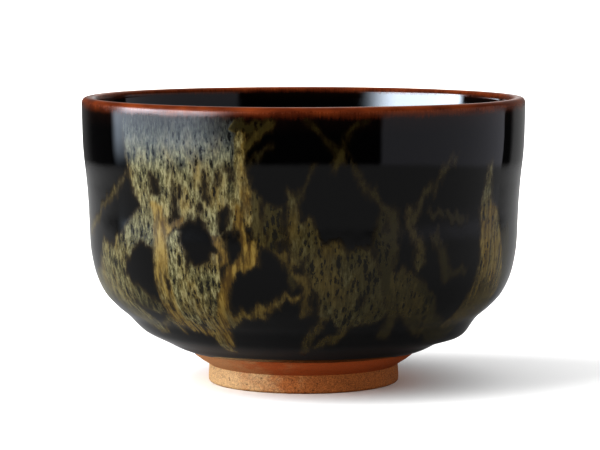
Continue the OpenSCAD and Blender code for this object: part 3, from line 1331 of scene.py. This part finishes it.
@dataclass
class Coat(Piece):
    """What every coat of glaze is made with.

    Attributes:
        band: How far the lip's coat reaches down the outside, in metres. Inside it is twice as far.
        sunk: How far a coat's back lies inside the clay, in metres.
    """

    INSIDE_START, INSIDE_PACE = 1.2, 1.5  # where inside starts below the lip, and how it runs on

    band: float = 0.7 * MM
    sunk: float = 0.04 * MM

    def coat_rows(self, skin: np.ndarray, backing: np.ndarray) -> list[Row]:
        """Draws a coat's closed outline: its skin one way and its clay side back.

        Args:
            skin: Distances along the line of the skin's rows, in order.
            backing: Distances of the clay side's rows, in the other order.

        Returns:
            The outline's rows.
        """
        points, normals, coat = self.line.at(skin)
        back_points, back_normals, _ = self.line.at(backing)
        return (Row.each(skin, points + normals * coat[:, None])
                + Row.each(backing, back_points - back_normals * self.sunk, Side.CLAY))

    def lay(self, places: Places, along: np.ndarray, thick: np.ndarray) -> None:
        """Puts a coat's skin at its thickness over the clay, and its back just inside the clay.

        Args:
            places: The coat's points.
            along: Where on the wall's line each of them belongs.
            thick: How thick the coat is there, in metres.
        """
        points, normals, _ = self.line.at(along)
        placed = points + normals * np.where(places.skin, thick, -self.sunk)[:, None]
        places.put(np.maximum(placed[:, 0], 0.0), placed[:, 1])

    def mark_wall(self, places: Places) -> np.ndarray:
        """Marks the coordinates that the glaze's patterns follow.

        Args:
            places: The coat's points.

        Returns:
            Each point's distance below the lip, in millimetres.
        """
        turn = np.radians(places.azimuth)
        below = self.line.below_lip(places.along)
        round_wall = AshGlaze.MM_PER_DEGREE * 180 / math.pi
        places.mark_vector("run_space", np.column_stack(
            [round_wall * np.sin(turn), -round_wall * np.cos(turn), -below]))
        return below

    def lip_inside(self, along: np.ndarray) -> np.ndarray:
        """Returns what places inside count as below the lip, where the rust ends sooner."""
        return self.INSIDE_START + (along - self.line.inner_edge) / MM * self.INSIDE_PACE


@dataclass
class OuterCoat(Coat):
    """The black coat on the outside, with the ash glaze that ran over it.

    Attributes:
        columns: Faces round the piece.
        pitch: The height of a face, in metres.
        bead: Over how much of the wall its lower edge is rounded, in metres.
        roll: How far it is swollen above its lower edge, in metres.
        pool: How far it bulges where glaze has pooled, in metres.
        pool_azimuth: The pool's middle in degrees.
        pool_below: The pool's middle in millimetres below the lip.
        pool_size: The pool's reach round the bowl in degrees, and up the wall in millimetres.
        drips: Half of how far the row of drips bulges above the lower edge, in metres.
        ripple: How far the glaze wavers, in metres.
        ash: The ash glaze on it.
    """

    BEAD_ROWS = (0.0, 0.04, 0.15, 0.32, 0.6, 1.0)  # shares of the bead
    BACK_ROWS = 12
    EDGE_WAVES = ((0.35 * MM, WallNoise(21, 24, 400)), (0.2 * MM, WallNoise(22, 7, 400)))
    EDGE_REACH = 9 * MM    # how far up the wall its lower edge's waves are felt
    FREE = 4 * MM          # how far up the wall pools and ripples reach their full depth
    ROLL_AT = (3.0, 3.4)   # millimetres above the lower edge, and how far it spreads
    DRIPS_AT = (68.0, 5.0)  # millimetres below the lip, and how far they spread
    WORN = (1.5 * MM, 0.2 * MM)  # heights above the lower edge between which the black wears thin
    DRIPS = WallNoise(23, 11, 400)
    RIPPLE = WallNoise(24, 30, 9)

    columns: int = 600
    pitch: float = 0.57 * MM
    bead: float = 0.5 * MM
    roll: float = 0.42 * MM
    pool: float = 1.05 * MM
    pool_azimuth: float = 80.0
    pool_below: float = 66.6
    pool_size: Point = (26.0, 3.3)
    drips: float = 0.06 * MM
    ripple: float = 0.012 * MM
    ash: AshGlaze = field(default_factory=AshGlaze)

    def rows(self) -> list[Row]:
        """Draws the coat's outline, closer together at its rounded lower edge.

        Returns:
            The outline's rows.
        """
        line, top = self.line, self.line.widest - self.band
        edge = line.glaze_line + self.bead * np.array(self.BEAD_ROWS)
        wall = np.linspace(edge[-1], top, round((top - edge[-1]) / self.pitch))
        backing = np.linspace(top, line.glaze_line, self.BACK_ROWS)[:-1]
        backing = backing + np.linspace(0, 0.1 * MM, len(backing))
        return self.coat_rows(np.concatenate([edge, wall[1:]]), backing)

    def place(self, places: Places) -> None:
        """Puts the coat's points where its thickness, its wavy lower edge and its pools have them.

        Args:
            places: The coat's points.
        """
        line, azimuth, level = self.line, places.azimuth, np.zeros_like(places.azimuth)
        from_edge = places.along - line.glaze_line
        wave = sum(size * noise.at(azimuth, level) for size, noise in self.EDGE_WAVES)
        along = places.along + wave * smooth_step(self.EDGE_REACH, 0, from_edge)
        below = line.below_lip(along)
        rounded = np.sqrt(np.clip(1 - (1 - np.clip(from_edge / self.bead, 0, 1)) ** 2, 0, 1))
        roll = self.roll * hump(from_edge / MM, *self.ROLL_AT)
        pool = self.pool * hump(wrapped(azimuth - self.pool_azimuth), 0, self.pool_size[0])
        pool = pool * hump(below, self.pool_below, self.pool_size[1])
        drips = self.drips * (1 + self.DRIPS.at(azimuth, level)) * hump(below, *self.DRIPS_AT)
        ripple = self.ripple * self.RIPPLE.at(azimuth, below)
        thick = (line.at(along)[2] + roll + drips) * rounded
        self.lay(places, along, thick + (pool + ripple) * smooth_step(0, self.FREE, from_edge))

    def build(self) -> bpy.types.Object:
        """Builds the coat, lays the ash glaze on it and dresses it.

        Returns:
            The piece.
        """
        places = self.turned("outer_coat", self.rows())
        self.place(places)
        below = self.mark_wall(places)
        for name, values in self.ash.laid(places.azimuth, below).items():
            places.mark("ash_" + name, values)
        places.mark("lip", below)
        places.mark("worn", smooth_step(*self.WORN, places.along - self.line.glaze_line))
        return self.show(places, IronGlaze("black_iron_glaze", with_ash=True), "black_glaze",
                         "outer_glaze", "ash_glaze")


@dataclass
class RimCoat(Coat):
    """The thin coat over the lip, where the black glaze breaks to rust brown.

    Attributes:
        columns: Faces round the piece.
    """

    SKIN_ROWS = 34
    BACK_ROWS = 12

    columns: int = 600

    def build(self) -> bpy.types.Object:
        """Builds the coat over the lip and dresses it.

        Returns:
            The piece.
        """
        line = self.line
        start, end = line.widest - self.band, line.inner_edge + 2 * self.band
        places = self.turned("rim_coat", self.coat_rows(
            np.linspace(start, end, self.SKIN_ROWS), np.linspace(end, start, self.BACK_ROWS)))
        self.lay(places, places.along, line.at(places.along)[2])
        below = self.mark_wall(places)
        outside = places.along < line.crest
        places.mark("lip", np.where(outside, below, self.lip_inside(places.along)))
        return self.show(places, IronGlaze("rust_lip_glaze"), "rust_glaze", "rim_glaze")


@dataclass
class Lining(Coat):
    """The black coat inside, which pools in the middle of the floor.

    Attributes:
        pitch: The height of a face, in metres.
        ridge: The height of the thrower's ridges under it, in metres.
        ridge_pitch: How far apart they are, in metres.
    """

    BACK_ROWS = 30
    RIDGES_FROM = (6 * MM, 24 * MM)  # distances below the lip at which they begin and are full
    POOLED = 16 * MM                 # how far from the floor's centre the glaze fills them

    pitch: float = 0.9 * MM
    ridge: float = 0.03 * MM
    ridge_pitch: float = 6.5 * MM

    def build(self) -> bpy.types.Object:
        """Builds the lining, with the thrower's faint spiral ridges, and dresses it.

        Returns:
            The piece.
        """
        line = self.line
        start = line.inner_edge + 2 * self.band
        skin = np.linspace(start, line.centre, round((line.centre - start) / self.pitch))
        places = self.turned("lining", self.coat_rows(
            skin, np.linspace(line.centre, start, self.BACK_ROWS)))
        inward, outward = places.along - line.inner_edge, line.centre - places.along
        ridges = self.ridge * spiral(inward, self.ridge_pitch, places.azimuth)
        ridges = ridges * smooth_step(*self.RIDGES_FROM, inward)
        ridges = ridges * smooth_step(0, self.POOLED, outward)
        self.lay(places, places.along, line.at(places.along)[2] + ridges)
        self.mark_wall(places)
        places.mark("lip", self.lip_inside(places.along))
        finish = IronGlaze("lining_iron_glaze", gloss=0.085)
        return self.show(places, finish, "lining_glaze", "inner_glaze")


@dataclass
class ClayBody(Piece):
    """The thrown clay under the coats, bare from the glaze line to the foot ring and in its well.

    Attributes:
        columns: Faces round the piece.
        ring_width: How wide the foot ring is where it meets the clay, in metres.
        well_rise: How far the well's ceiling is above the foot ring's top, in metres.
        groove: The depth of the turning tool's grooves in the well, in metres.
        groove_pitch: How far apart they are, in metres.
        scrape: How deep the tool's marks are on the bare wall, in metres.
        tuck: How far the clay draws in under its coats, in metres.
        finish: The bare clay's finish.
    """

    IN_WELL, ON_RING = -1.0, -2.0  # what a row's distance is where it isn't on the wall's line
    SCRAPES = WallNoise(31, 40, 0.9)
    SCRAPED_FROM = (0.3 * MM, 0.9 * MM)  # distances along the line where scrapes begin and are full
    GROOVED_FROM = (5 * MM, 7 * MM)      # radii in the well where its grooves begin and are full
    GROOVED_TO = (18.4 * MM, 17 * MM)    # radii where they have ended and where they are still full

    columns: int = 360
    ring_width: float = 5.65 * MM
    well_rise: float = 0.9 * MM
    groove: float = 0.09 * MM
    groove_pitch: float = 1.9 * MM
    scrape: float = 0.035 * MM
    tuck: float = 0.03 * MM
    # Its second colour is painted shade, on the side away from the key light.
    finish: BareClay = BareClay("bare_clay", (0.46, 0.235, 0.110), (0.42, 0.115, 0.034), 0.35)

    def rows(self) -> list[Row]:
        """Draws the clay's outline from the boss in the well round the wall to the floor's centre.

        Returns:
            The outline's rows.
        """
        line, ring, clay_low = self.line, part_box("foot_ring")[1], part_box("clay_body")[0].z
        ceiling, well = ring.z + self.well_rise, ring.x - self.ring_width
        boss = curve_through(np.array([
            (0.0, ring.z + 0.35 * MM), (1.6 * MM, ring.z + 0.4 * MM), (4.2 * MM, ceiling)]), 5)
        floor = [(radius, ceiling) for radius in np.linspace(5.2 * MM, well - 1.6 * MM, 22)]
        corner = [(well - 0.6 * MM, ceiling - 0.12 * MM),
                  (well, clay_low), (well + 0.2 * MM, clay_low)]
        inside = np.array([*boss, *floor, *corner])
        seat = [(radius, clay_low + 0.02 * MM)
                for radius in np.linspace(well + 0.8 * MM, ring.x - 0.5 * MM, 4)]
        bare = np.linspace(0.0, line.glaze_line + 1.2 * MM, 34)
        covered = np.linspace(line.glaze_line + 1.8 * MM, line.centre, 120)
        wall = np.concatenate([bare, covered])
        return (Row.each(np.full(len(inside), self.IN_WELL), inside)
                + Row.each(np.full(len(seat), self.ON_RING), seat)
                + Row.each(wall, line.at(wall)[0]))

    def build(self) -> bpy.types.Object:
        """Builds the clay, with the turning tool's fine grooves, and dresses it.

        Returns:
            The piece.
        """
        places = self.turned("clay_form", self.rows(), closed=False)
        along, radius, height = places.along, places.radius, places.height
        points, normals, _ = self.line.at(np.maximum(along, 0))
        tuck = self.tuck * smooth_step(0, 1.5 * MM, along - self.line.glaze_line - 1.0 * MM)
        scrape = self.scrape * self.SCRAPES.at(places.azimuth, along / MM)
        scrape = scrape * smooth_step(*self.SCRAPED_FROM, along)
        moved = points + normals * (scrape - tuck)[:, None]
        grooves = self.groove * spiral(radius, self.groove_pitch, places.azimuth)
        grooves = grooves * smooth_step(*self.GROOVED_FROM, radius)
        grooves = grooves * smooth_step(*self.GROOVED_TO, radius)
        grooved = height + np.where(along == self.IN_WELL, grooves, 0.0)
        on_wall = along >= 0
        places.put(np.where(on_wall, moved[:, 0], radius), np.where(on_wall, moved[:, 1], grooved))
        return self.show(places, self.finish, "clay", "clay_body")


@dataclass
class FootRing(Piece):
    """The turned foot ring that the bowl stands on.

    Attributes:
        width: How wide the ring is, in metres.
        swell: How much wider it is at its foot than at its top, in metres.
        draft: How much its well narrows upwards, in metres.
        edge: How far its standing edges are worn round, in metres.
        sand: How deep its sand pits it, in metres.
        wander: How far its face wanders, in metres.
        finish: The sandy clay's finish.
    """

    PITS = WallNoise(41, 0.9, 1.0)
    WANDER = WallNoise(42, 9, 4)

    width: float = 5.3 * MM
    swell: float = 0.24 * MM
    draft: float = 0.25 * MM
    edge: float = 0.75 * MM
    sand: float = 0.05 * MM
    wander: float = 0.04 * MM
    # Its second colour is painted shade, on the side away from the key light.
    finish: BareClay = BareClay("foot_clay", (0.46, 0.300, 0.155), (0.37, 0.145, 0.046), 1.0)

    def rows(self) -> list[Row]:
        """Draws the ring's outline, with worn standing edges.

        Returns:
            The outline's rows.
        """
        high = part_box("foot_ring")[1]
        out, well, tall = high.x, high.x - self.width, high.z - self.edge
        turn = np.linspace(0, math.pi / 2, 7)
        fall, rise = self.edge * (1 - np.cos(turn)), self.edge * (1 - np.sin(turn))
        outer_edge = np.column_stack([out - fall, rise])
        inner_edge = np.column_stack([well + rise, fall])[::-1]
        side = [(out - self.swell * (1 - t) ** 2, self.edge + tall * (1 - t))
                for t in np.linspace(0, 1, 16)[:-1]]
        standing = [(r, 0.0) for r in np.linspace(out - self.edge, well + self.edge, 12)[1:-1]]
        inside = [(well - self.draft * t, self.edge + tall * t) for t in np.linspace(0, 1, 10)[1:]]
        outline = [*side, *outer_edge, *standing, *inner_edge, *inside]
        return Row.each(np.arange(len(outline)), outline)

    def build(self) -> bpy.types.Object:
        """Builds the ring, roughened by its sand, and dresses it.

        Returns:
            The piece.
        """
        places = self.turned("foot", self.rows())
        radius, height = places.radius, places.height
        pits = self.sand * (0.5 - 0.5 * self.PITS.at(places.azimuth, (height + radius) / MM))
        wander = self.wander * (1 + self.WANDER.at(places.azimuth, height / MM)) / 2
        free = smooth_step(0, 0.5 * MM, height)
        free = free * smooth_step(0, 0.6 * MM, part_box("foot_ring")[1].z - height)
        places.put(radius - free * (pits + wander), height)
        return self.show(places, self.finish, "foot_clay", "foot_ring")


# --- Studio --------------------------------------------------------------------------------------


class Seen(Enum):
    """Which rays see a thing of the studio."""

    EVERYWHERE = "camera, light and reflections"
    NOT_REFLECTED = "camera and light"
    REFLECTED_ONLY = "reflections"


class Rise(Enum):
    """How a card's light changes from its lower edge to its upper edge."""

    EVEN = "the same all the way up"
    FROM_BELOW = "dark at the lower edge and full at the upper one"


@dataclass(frozen=True)
class CurvedCard:
    """A lit or grey card that stands round the bowl and shows only in its reflections.

    Attributes:
        name: The card's name.
        start: The azimuth of its dimmer end, in degrees.
        end: The azimuth of its brighter end, in degrees.
        low: Its lower edge, in metres.
        high: Its upper edge, in metres.
        tint: Its colour.
        glow: Its brightness at the brighter end.
        fade: The share of its width over which it grows to full brightness.
        fall: The share of its width over which it falls off again at the brighter end.
        rise: How its light changes with height.
        radius: How far it stands from the bowl's axis, in metres.
    """

    name: str
    start: float
    end: float
    low: float
    high: float
    tint: Colour
    glow: float
    fade: float
    fall: float
    rise: Rise
    radius: float = 1.2

    def build(self) -> bpy.types.Object:
        """Builds the card by sweeping an upright edge about Z, and lights it.

        Returns:
            The card.
        """
        bm = bmesh.new()
        turn = math.radians(self.start)
        foot = Vector((self.radius * math.sin(turn), -self.radius * math.cos(turn), self.low))
        ends = [bm.verts.new(foot), bm.verts.new((foot.x, foot.y, self.high))]
        edge = bm.edges.new(ends)
        bmesh.ops.spin(bm, geom=ends + [edge], cent=(0, 0, 0), axis=(0, 0, 1), dvec=(0, 0, 0),
                       angle=math.radians(self.end - self.start), steps=24, use_merge=False)
        mesh = finished_mesh(bm, self.name)
        mesh.materials.append(self.light())
        return bpy.data.objects.new(self.name, mesh)

    def light(self) -> bpy.types.Material:
        """Makes the card's light, which fades towards its dimmer end.

        Returns:
            The glowing material.
        """
        material = bpy.data.materials.new(self.name)
        bench = Bench(material)
        metres = bench.node("ShaderNodeTexCoord").outputs["Object"]
        place = bench.node("ShaderNodeSeparateXYZ", {0: metres})
        turn, start, end = bench.turn(place), math.radians(self.start), math.radians(self.end)
        share = bench.times(bench.step(turn, start, start + (end - start) * self.fade),
                            bench.step(turn, end, end - (end - start) * self.fall))
        if self.rise is Rise.FROM_BELOW:
            share = bench.times(share, bench.step(place.outputs[2], self.low, self.high))
        bench.output("ShaderNodeEmission", {
            "Color": (*self.tint, 1.0), "Strength": bench.times(share, self.glow)})
        return material


@dataclass
class Studio:
    """The plain pale floor, the soft light and the camera.

    Attributes:
        table_front: How far the table top reaches in front of the bowl, in metres.
        table_spread: How much further it reaches behind the bowl, in metres.
        under_foot: The radius of the hole in it under the foot, for light on the underside.
        floor_radius: How far the floor reaches, in metres.
        floor_tone: The floor's tone, from 0 to 1.
        soaked: How much darker the table is to the bowl's own light, and in the bowl's reflections.
        ambient: The brightness of the room's soft light.
        room_lamps: The lights behind the bowl that the glaze reflects. Each has the azimuth at
            which it begins and that at which it is full, in radians, and its brightness.
        sun_strength: The key light's strength.
        sun_azimuth: The azimuth that it comes from, in degrees.
        sun_elevation: How high it stands, in degrees.
        sun_spread: How wide it is, in degrees.
        lens: The camera's focal length, in millimetres.
        camera_place: Where the camera stands, in metres.
        camera_pitch: How far it looks down, in degrees.
    """

    table_front: float = 0.385
    table_spread: float = 0.55
    under_foot: float = 24.6 * MM
    floor_radius: float = 6.0
    floor_tone: float = 0.92
    soaked: Point = (0.44, 0.675)
    ambient: float = 0.86
    room_lamps: tuple[tuple[float, float, float], ...] = (
        (2.32, 2.46, 0.26), (2.90, 3.10, 0.75), (-2.40, -2.75, 0.10), (-2.95, -3.1, 0.45))
    sun_strength: float = 4.3
    sun_azimuth: float = -75.0
    sun_elevation: float = 34.0
    sun_spread: float = 62.0
    lens: float = 162.7
    camera_place: tuple[float, float, float] = (-0.00096, -0.7343, 0.1122)
    camera_pitch: float = 5.43

    def stage(self, thing: bpy.types.Object, seen: Seen) -> None:
        """Puts a thing on the stage.

        Args:
            thing: The floor or a card.
            seen: Which rays see it.
        """
        bpy.context.scene.collection.objects.link(thing)
        for rays in ("camera", "diffuse", "shadow", "transmission"):
            setattr(thing, "visible_" + rays, seen is not Seen.REFLECTED_ONLY)
        thing.visible_glossy = seen is not Seen.NOT_REFLECTED

    def floor_finish(self) -> bpy.types.Material:
        """Makes the floor's matt finish: pale, greyer to the bowl's light, and clear from below.

        Returns:
            The finished material.
        """
        material = bpy.data.materials.new("pale_floor")
        bench = Bench(material)
        ray = bench.node("ShaderNodeLightPath").outputs
        soaked = bench.plus(bench.times(ray["Is Diffuse Ray"], self.soaked[0]),
                            bench.times(ray["Is Glossy Ray"], self.soaked[1]))
        tone = bench.math("SUBTRACT", self.floor_tone, soaked)
        grey = bench.node("ShaderNodeCombineColor", {0: tone, 1: tone, 2: tone}).outputs[0]
        matt = bench.node("ShaderNodeBsdfDiffuse", {"Color": grey}).outputs[0]
        clear = bench.node("ShaderNodeBsdfTransparent").outputs[0]
        behind = bench.node("ShaderNodeNewGeometry").outputs["Backfacing"]
        fading = bench.times(bench.step(bench.attribute("edge"), 0.80, 1.0), ray["Is Glossy Ray"])
        bench.output("ShaderNodeMixShader", {
            0: bench.math("MAXIMUM", behind, fading), 1: matt, 2: clear})
        return material

    def table_reach(self, azimuth: float) -> float:
        """Returns how far the table top reaches in a direction, which is more behind the bowl."""
        behind = max(0.0, abs(azimuth) - math.radians(60)) / math.radians(120)
        return self.table_front + self.table_spread * behind**3

    def floor(self) -> None:
        """Lays the table top round the bowl and the floor beyond it."""
        finish = self.floor_finish()
        for name, seen, reach in (("table_top", Seen.EVERYWHERE, self.under_foot),
                                  ("studio_floor", Seen.NOT_REFLECTED, self.floor_radius)):
            bm = bmesh.new()
            edge = bm.verts.layers.float.new("edge")
            bmesh.ops.create_circle(bm, segments=144, radius=1.0)
            for vert in bm.verts:
                vert[edge] = 1.0
                vert.co *= self.table_reach(math.atan2(vert.co.x, -vert.co.y))
            other = bmesh.ops.extrude_edge_only(bm, edges=bm.edges[:])
            for vert in (item for item in other["geom"] if isinstance(item, bmesh.types.BMVert)):
                vert[edge] = reach / vert.co.length
                vert.co *= reach / vert.co.length
            bmesh.ops.recalc_face_normals(bm, faces=bm.faces)
            bmesh.ops.reverse_faces(bm, faces=[face for face in bm.faces if face.normal.z < 0])
            mesh = finished_mesh(bm, name)
            mesh.materials.append(finish)
            self.stage(bpy.data.objects.new(name, mesh), seen)

    def cards(self) -> None:
        """Stands the cards that the glaze reflects."""
        cool, grey = (0.78, 0.88, 1.0), (0.92, 0.92, 1.0)
        for card in (
            CurvedCard("softbox_apron", -34, -116, -0.19, 0.04, cool, 3.3, 0.34, 0.10,
                       Rise.FROM_BELOW),
            CurvedCard("softbox", -32, -108, 0.04, 0.42, cool, 19.0, 0.34, 0.10, Rise.EVEN),
            CurvedCard("grey_card", 37, 124.5, -0.8, 0.5, grey, 0.66, 0.04, 0.02, Rise.EVEN),
        ):
            self.stage(card.build(), Seen.REFLECTED_ONLY)

    def world(self) -> None:
        """Sets the room: white to the camera, soft to matt clay and dark to glossy glaze."""
        world = bpy.data.worlds.new("studio_room")
        bpy.context.scene.world = world
        bench = Bench(world)
        ray = bench.node("ShaderNodeLightPath").outputs
        toward = bench.node("ShaderNodeTexCoord").outputs["Generated"]
        turn = bench.turn(bench.node("ShaderNodeSeparateXYZ", {0: toward}))
        back = bench.step(bench.math("ABSOLUTE", turn), 0.9, 2.0, 0.0, 0.03)
        for begins, full, glow in self.room_lamps:
            back = bench.plus(back, bench.step(turn, begins, full, 0.0, glow))
        lamps = bench.times(ray["Is Glossy Ray"], back)
        soft = bench.times(bench.math("SUBTRACT", 1.0, ray["Is Glossy Ray"]), self.ambient)
        unseen = bench.times(bench.plus(lamps, soft),
                             bench.math("SUBTRACT", 1.0, ray["Is Camera Ray"]))
        strength = bench.plus(unseen, ray["Is Camera Ray"])
        bench.output("ShaderNodeBackground", {"Color": (1, 1, 1, 1), "Strength": strength},
                     "ShaderNodeOutputWorld")

    def sun(self) -> None:
        """Hangs the soft key light, high on the left."""
        lamp = bpy.data.lights.new("key_light", "SUN")
        lamp.energy = self.sun_strength
        lamp.angle = math.radians(self.sun_spread)
        key = bpy.data.objects.new("key_light", lamp)
        turn, rise = math.radians(self.sun_azimuth), math.radians(self.sun_elevation)
        flat = math.cos(rise)
        toward = Vector((math.sin(turn) * flat, -math.cos(turn) * flat, math.sin(rise)))
        key.rotation_euler = toward.to_track_quat("Z", "Y").to_euler()
        key.visible_glossy = False
        bpy.context.scene.collection.objects.link(key)

    def camera(self) -> None:
        """Stands the camera in front of the bowl, looking slightly down."""
        data = bpy.data.cameras.new("camera")
        data.sensor_width, data.lens = 36.0, self.lens  # millimetres
        data.clip_start, data.clip_end = 0.01, 20.0
        camera = bpy.data.objects.new("camera", data)
        camera.location = self.camera_place
        camera.rotation_euler = (math.radians(90 - self.camera_pitch), 0, 0)
        bpy.context.scene.collection.objects.link(camera)
        bpy.context.scene.camera = camera

    def build(self) -> None:
        """Sets up the whole studio."""
        bpy.context.scene.view_settings.view_transform = "Standard"
        bpy.context.scene.view_settings.look = "High Contrast"
        self.camera()
        self.world()
        self.floor()
        self.cards()
        self.sun()


def main() -> None:
    """Builds the studio and the bowl's pieces in order, and reports each."""
    logging.basicConfig(level=logging.INFO, format="%(name)s %(message)s")
    Studio().build()
    line = WallLine()
    thrown = HandThrown(line.height)
    for maker in (ClayBody, FootRing, OuterCoat, RimCoat, Lining):
        maker(line, thrown).build()


if __name__ == "__main__":
    main()
